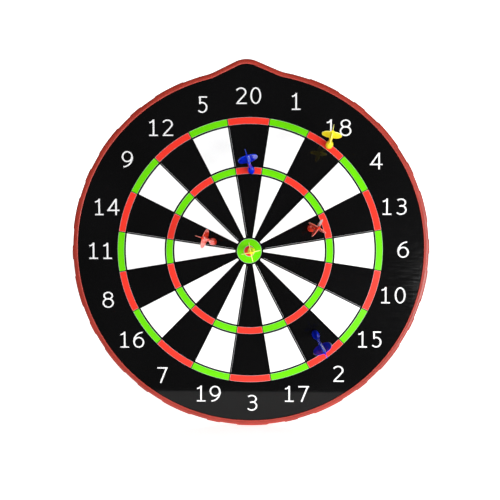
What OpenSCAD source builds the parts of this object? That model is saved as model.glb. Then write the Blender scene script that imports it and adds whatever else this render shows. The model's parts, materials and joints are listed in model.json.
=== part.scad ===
// Wall-hung magnetic dartboard with six magnetic darts.
// Millimetres. +Z is up, the wall is the plane y = 0 and the printed face looks towards -Y.
// The origin is the point on the wall where a hook carries the hanging ring.

/* [Board] */
// Radius of the round part of the board, over the rim wall
board_r = 228.6; // [224:0.2:240]
// Height of the bull above the centre of the round outline, negative is below it
bull_offset = -2; // [-4:0.5:0]
// Height of the peak's tip above the top of the round outline
peak_h = 13; // [9:0.5:16]
// Turn of the board and its rim against the printed face, anticlockwise from the front, in degrees
outline_turn = 1; // [-2:0.1:2]
// Slope of the peak's flanks, in degrees
peak_slope = 24.5; // [22:0.5:28]
// Radius of the peak's rounded tip
peak_tip_r = 33; // [25:1:40]
// Radius of the hollow shoulders where the peak runs into the circle
shoulder_r = 60; // [40:5:90]
// Thickness of the fibre core board
core_t = 4; // [3:0.5:8]
// Thickness of the steel sheet that the darts hold on to
steel_t = 0.4; // [0.3:0.1:0.8]
// Thickness of the glossy black face film, and of the back cover
film_t = 0.3; // [0.2:0.1:0.5]
// Thickness of the printed inks
ink_t = 0.12; // [0.1:0.02:0.2]

/* [Rim] */
// Thickness of the moulded rim's outer wall
rim_wall = 1.6; // [1.2:0.1:2.2]
// Width of the rim's front lip, from the wall's outside
front_lip = 6.3; // [5:0.1:9]
// Width of the rim's back lip, from the wall's outside
back_lip = 7.5; // [6:0.5:9]
// Thickness of the front lip
front_lip_t = 1.6; // [1.2:0.1:2.4]
// Thickness of the back lip
back_lip_t = 1.4; // [1:0.1:2]
// Number of long and short grip pads round the rim, of each
grip_pairs = 14; // [10:1:18]
// How far the grip pads stand out of the wall
grip_h = 0.9; // [0.5:0.1:1.5]
// Angle that a long grip pad covers
long_grip = 10.2; // [8:0.2:11]
// Angle that a short grip pad covers
short_grip = 4.4; // [3:0.2:6]
// Half the length of the lap where the rim's two halves meet
rim_lap = 5; // [3:1:8]

/* [Scoring face] */
// Outer radius of the double ring
double_r = 170; // [165:1:172]
// Outer radius of the treble ring
treble_r = 107; // [100:1:110]
// Width of the double and treble rings
ring_w = 8; // [7:0.5:9]
// Outer radius of the green bull
outer_bull_r = 15.9; // [15:0.1:17]
// Radius of the red inner bull
inner_bull_r = 6.4; // [6:0.1:7]
// Inner end of the white beds
bed_r = 18; // [17.6:0.2:22]
// Turn of the rings and beds against the numbers, anticlockwise from the front, in degrees
bed_turn = 0.33; // [-1:0.01:1]
// Width of the black line between a white bed and the rings
line_w = 2.4; // [1:0.1:2.4]
// Width of the black line along each straight edge of a white bed, up to the bed's nominal edge
side_line_w = 1.55; // [1:0.05:2.4]
// Width of the black line at a green segment's ends
segment_line_w = 0.95; // [0.6:0.05:1.2]
// Width of the pale hairlines
hair_w = 0.3; // [0.3:0.05:0.6]
// Width of the pale line round the red bull
bull_hair_w = 0.7; // [0.3:0.05:1]
// Radius of the circle of numbers
number_r = 196; // [192:1:198]
// Height of a numeral
numeral_h = 20.9; // [18:0.1:23]
// Width of a numeral's upright strokes
stroke_w = 2.1; // [1.8:0.1:3.4]
// Width of a numeral's level strokes
bar_w = 1.7; // [1.4:0.1:2.8]
// Distance from one numeral to the next in a two-figure number
numeral_step = 18.2; // [17:0.2:20]

/* [Hanger] */
// Drop from the hook to the centre of the bull
hook_to_bull = 230; // [226:1:231]
// Thickness of the rubber wall pads, which is also the gap behind the board
pad_t = 5; // [5:0.5:8]
// Radius of a wall pad
pad_r = 9; // [7:0.5:12]
// Distance of a wall pad from the middle of the board, sideways
pad_x = 120; // [90:5:130]
// Drop of a wall pad below the bull
pad_drop = 150; // [120:5:155]
// Wire radius of the hanging ring
wire_r = 1.2; // [1:0.1:1.3]
// Inside radius of the hanging ring
ring_in = 9.8; // [9.5:0.1:10.5]
// Radial clearance of the ring's bar in its barrel
bar_play = 0.08; // [0.05:0.01:0.1]
// Width of the hanger strap
strap_w = 14; // [10:1:15]
// Length of the hanger strap below the ring's bar
strap_l = 24; // [23:1:30]
// Thickness of the hanger strap
strap_t = 1; // [0.8:0.1:1]
// Radius of a rivet's shank
rivet_r = 1.5; // [1.2:0.1:2]
// Radius of a rivet's head
rivet_head_r = 3; // [2.5:0.1:3.4]

/* [Darts] */
// Distance from the face to a dart's tail
dart_l = 78; // [70:1:90]
// Greatest radius of the bulb
bulb_r = 4.75; // [4.5:0.05:6]
// Distance from the face to the widest place of the bulb
bulb_u = 7; // [6:0.5:9]
// Radius of the stem behind the bulb
stem_r = 1.9; // [1.7:0.1:2.4]
// Distance from the face to the end of the bulb's taper
taper_u = 29; // [20:1:30]
// Distance from the face to the back end of the stem
stem_u = 46; // [40:1:50]
// Radius of the flight's shaft, which is glued into the stem
shaft_r = 1.15; // [0.9:0.05:1.3]
// Depth of the shaft's socket in the stem
socket_l = 12; // [8:1:16]
// Radius of the magnet
magnet_r = 3.7; // [3:0.1:3.9]
// Thickness of the magnet
magnet_t = 3.2; // [2:0.1:4]
// Radius of the magnet's domed face
dome_r = 25; // [20:1:40]
// Reach of a fin from the dart's axis
fin_reach = 11.5; // [10:0.5:14]
// Length of a fin along the dart
fin_chord = 30; // [26:1:31]
// Thickness of a fin
fin_t = 0.8; // [0.8:0.1:1.6]

/* [Hidden] */

// Distances from the wall to each layer of the board, back to front
core_back = pad_t + film_t;
core_front = core_back + core_t;
steel_front = core_front + steel_t;
film_front = steel_front + film_t;
print_front = film_front + ink_t;
rim_back = pad_t - back_lip_t;
rim_front = film_front + front_lip_t;
rim_mid = (rim_back + rim_front) / 2;

// Gap that keeps the film and the steel clear of the rim's wall
film_gap = 0.2;
steel_gap = 1.4;

// Outline of the peak: two straight flanks, a rounded tip and hollow shoulders
tip_z = board_r + peak_h - peak_tip_r;
flank_start = [peak_tip_r * sin(peak_slope), tip_z + peak_tip_r * cos(peak_slope)];
flank_way = [cos(peak_slope), -sin(peak_slope)];
flank_out = [sin(peak_slope), cos(peak_slope)];
shoulder_base = flank_start + shoulder_r * flank_out;
shoulder_b = shoulder_base * flank_way;
shoulder_c = shoulder_base * shoulder_base - pow(board_r + shoulder_r, 2);
shoulder_centre = shoulder_base - flank_way * (shoulder_b + sqrt(pow(shoulder_b, 2) - shoulder_c));
shoulder_end = atan2(-shoulder_centre[1], -shoulder_centre[0]);
shoulder_start = -90 - peak_slope;
shoulder_steps = 4;
tip_steps = 12;

// Scores clockwise from the top, and how far the printer set each number off its bed's middle
SCORES = [20, 1, 18, 4, 13, 6, 10, 15, 2, 17, 3, 19, 7, 16, 8, 11, 14, 9, 12, 5];
NUMBER_NUDGES = [
    [-0.9, 1.3], [-1, 3], [-2.4, -2.3], [2.5, -1], [-2, -4], [0, 2], [-2.5, 4], [-3.6, 1.5], [0, 0], [0.5, 1],
    [4, -1.5], [7, 0.5], [2, -3.5], [5.5, -0.5], [3, -3], [3.5, 0], [2, -4], [2, 2.5], [2, -1], [1.5, 0]
];
bed_angle = 360 / len(SCORES);
treble_in = treble_r - ring_w;
double_in = double_r - ring_w;
// How far the red and the green segments stop short of the beds' nominal edges. A hairline lies
// on the nominal edge, against the red.
red_edge = hair_w / 2;
green_edge = red_edge + segment_line_w;
ring_hair_w = 0.25;
// Distance of a bed's hairline from the bed's nominal edge, and how far a ring's stops short
hair_set = 0.1;
hair_end = 0.1;
RING_HAIRS = [treble_in - ring_hair_w, treble_r, double_in - ring_hair_w, double_r];

// The black print sits a little up and to the right, which bares a hairline on these bed edges
slip_way = [sqrt(0.5), sqrt(0.5)];
slip_limit = 0.5;

// Arc each side of the peak that has no grip pads
peak_arc = 15;
// How far the grip pads stop short of the rim's front and back
grip_set = 0.8;

// Centre lines of a numeral, measured from its lower left corner
numeral_w = 15;
pen_x = stroke_w / 2;
pen_y = bar_w / 2;
high = numeral_h - pen_y;
middle = numeral_h / 2;

// Hanging ring and the rolled barrel that holds its bar
ring_mid = ring_in + wire_r;
pivot_z = -ring_in;
barrel_r = 2.2;
barrel_in = wire_r + bar_play;
pivot_depth = pad_t - barrel_r - 0.1;
bar_half = ring_mid + 1;
rivet_drops = [6, 18];
rivet_head_t = 1;
set_head_t = 0.7;
pad_chamfer = 1;

// Darts
nose_u = 0.9;
nose_r = 4.1;
profile_steps = 16;
fin_steps = 22;
fin_end = stem_u + fin_chord;
socket_u = stem_u - socket_l;
socket_r = shaft_r + 0.05;
// Each row: sideways place and height from the bull, lean to the right and up in degrees,
// roll about its own axis, how far its seat is from the wall, and its colour
DARTS = [
    [1.6, 104.4, -2.8, 5.3, 74, print_front, "mediumblue"],
    [98.9, 134, -5.5, 1.1, 11, print_front, "gold"],
    [-47.6, 13.7, -3.6, 4.5, 17, film_front, "firebrick"],
    [78.9, 29, 0.9, -0.1, 32, film_front, "firebrick"],
    [85.2, -107.8, 1.8, -4.5, 62, film_front, "mediumblue"],
    [3.1, 0.8, 0.6, 0.4, 78, print_front, "gold"]
];

// Extrudes a shape drawn in X and Z from one distance off the wall to another, about the bull
module layer(from, to) {
    translate([0, -from, -hook_to_bull]) rotate([90, 0, 0]) linear_extrude(to - from) children();
}

// Points on a circle or an ellipse, from one angle to another
function arc(cx, cy, rx, ry, a, b, steps) =
    [for (i = [0:steps]) let(t = a + (b - a) * i / steps) [cx + rx * cos(t), cy + ry * sin(t)]];
function backwards(list) = [for (i = [len(list) - 1:-1:0]) list[i]];
function mirrored(list) = [for (p = backwards(list)) [-p[0], p[1]]];

// ---- Board outline ----

function peak_side(inset) = concat(
    [[board_r / 3, 0]],
    [(board_r - inset - shoulder_r / 10) * [cos(180 + shoulder_end), sin(180 + shoulder_end)]],
    [for (i = [1:shoulder_steps])
        let(t = shoulder_end + (shoulder_start - shoulder_end) * i / shoulder_steps)
        shoulder_centre + (shoulder_r + inset) * [cos(t), sin(t)]],
    arc(0, tip_z, peak_tip_r - inset, peak_tip_r - inset, 90 - peak_slope, 90, tip_steps / 2)
);

// Carries a shape drawn about the middle of the round outline to its place about the bull
module turned() {
    translate([0, -bull_offset]) rotate(outline_turn) children();
}

// Outline of the board, moved inwards by inset
module outline(inset) {
    side = peak_side(inset);
    turned() {
        circle(r = board_r - inset, $fn = 180);
        polygon(concat(side, mirrored([for (i = [0:len(side) - 2]) side[i]])));
    }
}

module core_board() {
    color("burlywood") difference() {
        layer(core_back, core_front) outline(rim_wall);
        rivet_shanks(core_back - 1, core_front + 1, rivet_r);
        rivet_shanks(core_front - set_head_t, core_front + 1, rivet_head_r);
    }
}

module steel_sheet() {
    color("slategray") layer(core_front, steel_front) outline(rim_wall + steel_gap);
}

module face_film() {
    color([0.06, 0.06, 0.07]) layer(steel_front, film_front) outline(rim_wall + film_gap);
}

module back_cover() {
    color("dimgray") difference() {
        layer(pad_t, core_back) outline(rim_wall + film_gap);
        rivet_shanks(pad_t - 1, core_back + 1, rivet_r);
    }
}

// ---- Rim ----

// A wedge that covers an angle each side of a direction, both clockwise from the top
module wedge(direction, half, reach) {
    polygon([
        [0, 0],
        reach * [sin(direction - half), cos(direction - half)],
        reach * [sin(direction + half), cos(direction + half)]
    ]);
}

module grip_pad(direction, span) {
    turned() intersection() {
        difference() {
            circle(r = board_r + grip_h, $fn = 180);
            circle(r = board_r - rim_wall / 2, $fn = 180);
        }
        wedge(direction, span / 2, board_r * 1.2);
    }
}

module grip_pads() {
    step = 360 / grip_pairs;
    for (i = [0:grip_pairs - 1]) {
        at = i * step;
        if (at > peak_arc) grip_pad(at, long_grip);
        if (i > 0 && i < grip_pairs - 1 || step / 2 > peak_arc) grip_pad(at + step / 2, short_grip);
    }
}

module whole_rim() {
    difference() {
        union() {
            layer(rim_back, rim_front) outline(0);
            layer(rim_back + grip_set, rim_front - grip_set) grip_pads();
        }
        layer(pad_t, film_front) outline(rim_wall);
        layer(film_front - 1, rim_front + 1) outline(front_lip);
        layer(rim_back - 1, pad_t + 1) outline(back_lip);
    }
}

// Block that holds the lower half of the rim: its front layer reaches higher than its back layer
module lower_zone() {
    reach = board_r * 1.2;
    layer(rim_mid, rim_front + 1)
        turned() translate([-reach, -2 * reach]) square([2 * reach, 2 * reach + rim_lap]);
    layer(rim_back - 1, rim_mid)
        turned() translate([-reach, -2 * reach]) square([2 * reach, 2 * reach - rim_lap]);
}

module rim_upper() {
    color("firebrick") difference() {
        whole_rim();
        lower_zone();
    }
}

module rim_lower() {
    color("firebrick") intersection() {
        whole_rim();
        lower_zone();
    }
}

// ---- Printed face ----

module ring(outer, inner) {
    difference() {
        circle(r = outer, $fn = 120);
        circle(r = inner, $fn = 120);
    }
}

// One bed between two radii, with its two straight edges moved inwards
module bed(place, inner, outer, edge) {
    direction = place * bed_angle;
    start = edge / sin(bed_angle / 2) * [sin(direction), cos(direction)];
    intersection() {
        ring(outer, inner);
        translate(start) wedge(direction, bed_angle / 2, double_r * 1.5);
    }
}

module ring_beds(first, edge) {
    for (i = [first:2:len(SCORES) - 1]) {
        bed(i, treble_in, treble_r, edge);
        bed(i, double_in, double_r, edge);
    }
}

// Rings and beds are one print, which is turned a little against the numbers
module bed_print() {
    layer(film_front, print_front) rotate(bed_turn) children();
}

module white_print() {
    color("white") bed_print() {
        for (i = [1:2:len(SCORES) - 1]) {
            bed(i, bed_r, treble_in - line_w, side_line_w);
            bed(i, treble_r + line_w, double_in - line_w, side_line_w);
        }
    }
}

module red_print() {
    color([0.96, 0.2, 0.12]) bed_print() {
        ring_beds(0, red_edge);
        circle(r = inner_bull_r, $fn = 60);
    }
}

module green_print() {
    color([0.4, 0.9, 0.05]) bed_print() {
        ring_beds(1, green_edge);
        ring(outer_bull_r - hair_w, inner_bull_r + bull_hair_w);
    }
}

// A straight hairline beside a bed's nominal edge, off it by shift
module edge_hairline(bed_edge, shift, inner, outer) {
    rotate(-bed_edge) translate([shift - hair_w / 2, inner]) square([hair_w, outer - inner]);
}

module hairline_print() {
    color("lightgray") bed_print() {
        ring(inner_bull_r + bull_hair_w, inner_bull_r);
        ring(outer_bull_r, outer_bull_r - hair_w);
        for (i = [0:2:len(SCORES) - 1], side = [-1, 1]) {
            bed_edge = i * bed_angle + side * bed_angle / 2;
            inwards = -side * [cos(bed_edge), -sin(bed_edge)];
            shift = -side * (hair_set + hair_w / 2);
            if (inwards * slip_way > slip_limit) {
                edge_hairline(bed_edge, shift, bed_r + line_w, treble_in - line_w);
                edge_hairline(bed_edge, shift, treble_r + line_w, double_in - line_w);
            }
            edge_hairline(bed_edge, 0, treble_in + hair_end, treble_r - hair_end);
            edge_hairline(bed_edge, 0, double_in + hair_end, double_r - hair_end);
        }
        for (i = [0:len(SCORES) - 1], radius = RING_HAIRS)
            bed(i, radius, radius + ring_hair_w, i % 2 == 0 ? red_edge : green_edge);
    }
}

// ---- Numerals ----

function heading(path, i) =
    let(way = path[min(i + 1, len(path) - 1)] - path[max(i - 1, 0)]) way / norm(way);
function beside(path, side) = [for (i = [0:len(path) - 1])
    let(way = heading(path, i))
    path[i] + side * [-way[1] * pen_x, way[0] * pen_y]];

// A stroke drawn with a pen that is wider across than it is tall
module stroke(path) {
    polygon(concat(beside(path, 1), backwards(beside(path, -1))));
}

// One edge of an oval stroke: side is 1 outside and -1 inside
module oval(cx, cy, rx, ry, side) {
    polygon(arc(cx, cy, rx + side * pen_x, ry + side * pen_y, 0, 350, 35));
}

module loop(cx, cy, rx, ry) {
    difference() {
        oval(cx, cy, rx, ry, 1);
        oval(cx, cy, rx, ry, -1);
    }
}

module six() {
    difference() {
        union() {
            oval(7.6, 7.1, 6.1, 7.1 - pen_y, 1);
            stroke(arc(12.6, 7.6, 11.4, high - 7.6, 90, 180, 9));
        }
        oval(7.6, 7.1, 6.1, 7.1 - pen_y, -1);
    }
}

module digit(value) {
    if (value == 0) loop(7.5, middle, 5.8, high - middle);
    if (value == 1) {
        stroke([[7.3, pen_y], [7.3, numeral_h]]);
        stroke([[1.8, pen_y], [13, pen_y]]);
        stroke([[2, 17], [5, 17.8], [7.3, 20]]);
    }
    if (value == 2) {
        stroke(concat(arc(6.9, 14.9, 6, high - 14.9, 155, -25, 12), [[9.4, 9.2], [6, 5.6], [2.4, 1.9]]));
        stroke([[0.9, pen_y], [14.4, pen_y]]);
    }
    if (value == 3) {
        stroke(concat(arc(6.7, 15.6, 5.6, high - 15.6, 140, -90, 14), [[4.4, 11.1]]));
        stroke(arc(6.5, 6.4, 6.4, 6.4 - pen_y, 90, -142, 14));
    }
    if (value == 4) {
        stroke([[11, 0], [11, numeral_h]]);
        stroke([[-0.6, 6.2], [15.4, 6.2]]);
        stroke([[0.6, 6], [10.6, 20.2]]);
    }
    if (value == 5) {
        stroke([[2.4, high], [12.6, high]]);
        stroke([[3.8, numeral_h - 0.6], [3.8, 11.2]]);
        stroke(arc(6.4, 7, 5.9, 7 - pen_y, 122, -142, 14));
    }
    if (value == 6) six();
    if (value == 7) {
        stroke([[0.8, high], [14.4, high]]);
        stroke([[12.9, high], [5, 0.3]]);
    }
    if (value == 8) {
        loop(7.5, 15.7, 5.3, high - 15.7);
        loop(7.5, 6.3, 6.3, 6.3 - pen_y);
    }
    if (value == 9) translate([numeral_w, numeral_h]) rotate(180) six();
}

module number(value) {
    pair = value > 9 ? 1 : 0;
    translate([-numeral_w / 2, -numeral_h / 2]) {
        if (pair == 1) translate([-numeral_step / 2, 0]) digit(floor(value / 10));
        translate([pair * numeral_step / 2, 0]) digit(value % 10);
    }
}

module number_print() {
    color("white") layer(film_front, print_front) {
        for (i = [0:len(SCORES) - 1]) {
            place = number_r * [sin(i * bed_angle), cos(i * bed_angle)];
            translate(place + NUMBER_NUDGES[i]) number(SCORES[i]);
        }
    }
}

// ---- Hanger and wall pads ----

module rivet_shanks(from, to, radius) {
    for (drop = rivet_drops)
        translate([0, -from, pivot_z - drop]) rotate([90, 0, 0])
            cylinder(h = to - from, r = radius, $fn = 48);
}

module along_bar(length, radius) {
    translate([-length / 2, -pivot_depth, pivot_z]) rotate([0, 90, 0])
        cylinder(h = length, r = radius, $fn = 48);
}

module hanger_strap() {
    color("silver") difference() {
        union() {
            translate([-strap_w / 2, -pad_t, pivot_z - strap_l]) cube([strap_w, strap_t, strap_l]);
            along_bar(strap_w, barrel_r);
        }
        along_bar(strap_w + 2, barrel_in);
        rivet_shanks(pad_t - strap_t - 1, pad_t + 1, rivet_r);
    }
}

module hanger_ring() {
    color("gainsboro") {
        along_bar(2 * bar_half, wire_r);
        translate([0, -pivot_depth, pivot_z]) rotate([90, 0, 0])
            rotate_extrude(angle = 180, $fn = 96) translate([ring_mid, 0]) circle(r = wire_r, $fn = 32);
    }
}

module hanger_rivets() {
    color("gray") {
        rivet_shanks(pad_t - strap_t, core_front, rivet_r);
        rivet_shanks(pad_t - strap_t - rivet_head_t, pad_t - strap_t, rivet_head_r);
        rivet_shanks(core_front - set_head_t, core_front, rivet_head_r);
    }
}

module wall_pad(side) {
    color([0.12, 0.12, 0.12]) translate([side * pad_x, 0, -hook_to_bull - pad_drop]) rotate([90, 0, 0]) {
        cylinder(h = pad_chamfer, r1 = pad_r - pad_chamfer, r2 = pad_r, $fn = 64);
        translate([0, 0, pad_chamfer]) cylinder(h = pad_t - pad_chamfer, r = pad_r, $fn = 64);
    }
}

// ---- Darts ----

// Stands a part drawn along +Z, nose at the origin, on the face. It leans about the magnet's
// dome centre, so the dome still touches the face.
module on_face(place) {
    translate([place[0], -place[5], place[1] - hook_to_bull]) rotate([90, 0, 0])
        translate([0, 0, dome_r]) rotate([-place[3], place[2], 0]) rotate(-place[4])
        translate([0, 0, -dome_r]) color(place[6]) children();
}

// Radius of the bulb at a distance from the face: round in front, an easy taper behind
function bulb(u) =
    u < bulb_u
    ? nose_r + (bulb_r - nose_r) * sqrt(1 - pow((bulb_u - u) / (bulb_u - nose_u), 2))
    : stem_r + (bulb_r - stem_r) * (1 + cos(180 * (u - bulb_u) / (taper_u - bulb_u))) / 2;

module dart_body(place) {
    outside = [for (i = [0:profile_steps])
        let(u = nose_u + (taper_u - nose_u) * i / profile_steps)
        [bulb(u), u]];
    on_face(place) difference() {
        rotate_extrude($fn = 64) polygon(concat([[0, nose_u]], outside, [[stem_r, stem_u], [0, stem_u]]));
        cylinder(h = magnet_t, r = magnet_r, $fn = 64);
        translate([0, 0, socket_u]) cylinder(h = socket_l + 1, r = socket_r, $fn = 32);
    }
}

module dart_magnet(place) {
    on_face(place) color("silver") intersection() {
        cylinder(h = magnet_t, r = magnet_r, $fn = 64);
        translate([0, 0, dome_r]) sphere(r = dome_r, $fn = 96);
    }
}

// Leaf outline of two opposite fins
function fin_side() = [for (i = [1:fin_steps - 1])
    let(t = 180 * i / fin_steps)
    [fin_reach * pow(sin(t), 0.8), stem_u + fin_chord * (1 - cos(t)) / 2]];

module dart_flight(place) {
    leaf = concat([[0, stem_u]], fin_side(), [[0, fin_end]], mirrored(fin_side()));
    on_face(place) {
        translate([0, 0, socket_u]) cylinder(h = dart_l - socket_u, r = shaft_r, $fn = 32);
        for (turn = [0, 90])
            rotate(turn) rotate([90, 0, 0]) translate([0, 0, -fin_t / 2])
                linear_extrude(fin_t) polygon(leaf);
    }
}

core_board();
steel_sheet();
face_film();
back_cover();
rim_upper();
rim_lower();
white_print();
red_print();
green_print();
hairline_print();
number_print();
hanger_strap();
hanger_ring();
hanger_rivets();
wall_pad(-1);  // left_wall_pad
wall_pad(1);  // right_wall_pad
dart_body(DARTS[0]);  // blue_dart_top_body
dart_flight(DARTS[0]);  // blue_dart_top_flight
dart_magnet(DARTS[0]);  // blue_dart_top_magnet
dart_body(DARTS[1]);  // yellow_dart_top_body
dart_flight(DARTS[1]);  // yellow_dart_top_flight
dart_magnet(DARTS[1]);  // yellow_dart_top_magnet
dart_body(DARTS[2]);  // red_dart_left_body
dart_flight(DARTS[2]);  // red_dart_left_flight
dart_magnet(DARTS[2]);  // red_dart_left_magnet
dart_body(DARTS[3]);  // red_dart_right_body
dart_flight(DARTS[3]);  // red_dart_right_flight
dart_magnet(DARTS[3]);  // red_dart_right_magnet
dart_body(DARTS[4]);  // blue_dart_low_body
dart_flight(DARTS[4]);  // blue_dart_low_flight
dart_magnet(DARTS[4]);  // blue_dart_low_magnet
dart_body(DARTS[5]);  // yellow_dart_bull_body
dart_flight(DARTS[5]);  // yellow_dart_bull_flight
dart_magnet(DARTS[5]);  // yellow_dart_bull_magnet
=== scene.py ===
"""Looks of a wall-hung magnetic dartboard with six magnetic darts.

Metres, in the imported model's frame: +Z is up, the wall is the plane y = 0 and the printed
face looks towards -Y. Sizes that are clearer in millimetres carry MM.
"""

import json
import math

import bmesh
import bpy
from mathutils import Matrix, Vector


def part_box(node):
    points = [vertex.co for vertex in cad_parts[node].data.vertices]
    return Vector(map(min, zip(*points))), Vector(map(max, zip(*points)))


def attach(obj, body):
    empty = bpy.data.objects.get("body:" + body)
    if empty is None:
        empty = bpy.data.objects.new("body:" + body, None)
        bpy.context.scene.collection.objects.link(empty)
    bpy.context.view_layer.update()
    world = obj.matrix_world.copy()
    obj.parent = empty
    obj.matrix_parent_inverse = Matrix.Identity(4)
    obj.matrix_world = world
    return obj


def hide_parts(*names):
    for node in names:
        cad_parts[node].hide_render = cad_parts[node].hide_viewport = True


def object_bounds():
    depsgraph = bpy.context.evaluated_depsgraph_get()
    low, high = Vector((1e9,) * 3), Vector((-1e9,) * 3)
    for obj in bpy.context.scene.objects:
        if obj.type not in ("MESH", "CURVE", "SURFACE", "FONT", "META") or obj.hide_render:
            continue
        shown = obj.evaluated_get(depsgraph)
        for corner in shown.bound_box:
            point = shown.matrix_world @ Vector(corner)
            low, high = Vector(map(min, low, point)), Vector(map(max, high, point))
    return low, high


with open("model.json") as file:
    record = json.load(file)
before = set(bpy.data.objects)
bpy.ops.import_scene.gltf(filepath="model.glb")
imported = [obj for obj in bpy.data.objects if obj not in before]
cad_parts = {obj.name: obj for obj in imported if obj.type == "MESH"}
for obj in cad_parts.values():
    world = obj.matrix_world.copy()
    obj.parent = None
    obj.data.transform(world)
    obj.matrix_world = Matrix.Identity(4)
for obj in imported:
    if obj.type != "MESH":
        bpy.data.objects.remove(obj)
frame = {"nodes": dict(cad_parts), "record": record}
CAD_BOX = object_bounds()
MM = 0.001


def middle(node):
    """The middle of a CAD node's box."""
    low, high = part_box(node)
    return (low + high) / 2


# ---- Places and sizes from the frame ----

FACE_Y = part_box("face_film")[0].y
BULL = Vector((middle("green_print").x, FACE_Y, middle("green_print").z))
FLOOR_Z = CAD_BOX[0].z
CORE_LOW, CORE_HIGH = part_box("core_board")
RIM_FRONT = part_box("rim_upper")[0].y
RIM_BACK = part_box("rim_upper")[1].y
# The outline: a circle with a peak, turned anticlockwise by OUTLINE_TURN. TIP_Z is the middle of
# the arc at the peak's tip, above the circle's own middle
RIM_WALL = 1.6 * MM
BOARD_R = (CORE_HIGH.x - CORE_LOW.x) / 2 + RIM_WALL
CENTRE_Z = CORE_LOW.z - RIM_WALL + BOARD_R
OUTLINE_TURN = math.radians(1)
PEAK_TIP_R = 33 * MM
TIP_TOP = CORE_HIGH.z + RIM_WALL - CENTRE_Z
TIP_Z = (TIP_TOP - PEAK_TIP_R) / math.cos(OUTLINE_TURN)
# Each dart's body in the frame, and its colour
DARTS = {
    "blue_dart_top": "blue",
    "yellow_dart_top": "yellow",
    "red_dart_left": "red",
    "red_dart_right": "red",
    "blue_dart_low": "blue",
    "yellow_dart_bull": "yellow",
}


# ---- Camera ----

# The camera looks at the face almost square on, from 0.59 m
CAMERA_PLACE = BULL + Vector((0.015, -0.590, 0.023))
CAMERA_TARGET = BULL + Vector((0.0009, 0, 0.0013))
# Focal length and the sensor's width, in millimetres
CAMERA_LENS = 33.1
CAMERA_SENSOR = 36


def aimed(place, target):
    """The rotation of a camera or a lamp at a place that looks at a target."""
    return (target - place).to_track_quat("-Z", "Y").to_euler()


def make_camera():
    data = bpy.data.cameras.new("camera")
    data.sensor_width = CAMERA_SENSOR
    data.lens = CAMERA_LENS
    data.clip_start = 10 * MM
    camera = bpy.data.objects.new("camera", data)
    camera.location = CAMERA_PLACE
    camera.rotation_euler = aimed(CAMERA_PLACE, CAMERA_TARGET)
    bpy.context.scene.collection.objects.link(camera)
    bpy.context.scene.camera = camera


# ---- Node trees ----

# The Mix node's sockets by number, because its colours and its values share their names: the
# inputs are the factor, the first and the second
MIX_INPUTS = {"RGBA": (0, 6, 7), "FLOAT": (0, 2, 3)}
MIX_OUTPUT = {"RGBA": 2, "FLOAT": 0}


class NodeTree:
    """Short calls that build a node tree. Its patterns lie in one kind of coordinates."""

    def __init__(self, tree, coordinates):
        self.tree = tree
        self.place = self.add("ShaderNodeTexCoord").outputs[coordinates]

    def add(self, kind, **values):
        """A node, with its settings and its inputs' values or links by name."""
        node = self.tree.nodes.new(kind)
        for name, value in values.items():
            if name in node.inputs:
                self.feed(node.inputs[name], value)
            else:
                setattr(node, name, value)
        return node

    def feed(self, socket, value):
        if isinstance(value, bpy.types.NodeSocket):
            self.tree.links.new(value, socket)
        else:
            socket.default_value = value

    def seen_by(self, kind):
        """1 for rays of one kind, such as Is Camera Ray, and 0 for the others."""
        return self.add("ShaderNodeLightPath").outputs[kind]

    def noise(self, scale, detail=2.0, roughness=0.5, stretch=None):
        """Noise from 0 to 1, of about scale cells to the metre, times stretch on each axis."""
        place = self.place
        if stretch:
            mapping = self.add("ShaderNodeMapping", Vector=place, Scale=stretch)
            place = mapping.outputs["Vector"]
        node = self.add(
            "ShaderNodeTexNoise", Vector=place, Scale=scale, Detail=detail, Roughness=roughness
        )
        return node.outputs["Fac"]

    def cells(self, scale, feature="F1"):
        """Distance from the middles of irregular cells, about scale of them to the metre."""
        node = self.add("ShaderNodeTexVoronoi", Vector=self.place, Scale=scale, feature=feature)
        return node.outputs["Distance"]

    def ramp(self, factor, low, high, start=0.0, end=1.0, curve="LINEAR"):
        """A value or a colour that goes from low to high as factor goes from start to end."""
        colours = not isinstance(low, (int, float))
        node = self.add("ShaderNodeMapRange", clamp=True, interpolation_type=curve)
        self.feed(node.inputs["Value"], factor)
        node.inputs["From Min"].default_value = start
        node.inputs["From Max"].default_value = end
        if colours:
            return self.blend(node.outputs["Result"], (*low, 1), (*high, 1))
        node.inputs["To Min"].default_value = low
        node.inputs["To Max"].default_value = high
        return node.outputs["Result"]

    def blend(self, factor, first, second, kind="RGBA"):
        """Mixes two colours, or two values where kind is FLOAT."""
        mix = self.add("ShaderNodeMix", data_type=kind)
        for socket, value in zip(MIX_INPUTS[kind], (factor, first, second)):
            self.feed(mix.inputs[socket], value)
        return mix.outputs[MIX_OUTPUT[kind]]

    def bump(self, height, depth, strength=1.0, over=None):
        """A bumped normal, on top of another where over is given."""
        node = self.add("ShaderNodeBump", Height=height, Distance=depth, Strength=strength)
        if over:
            self.feed(node.inputs["Normal"], over)
        return node.outputs["Normal"]


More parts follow.
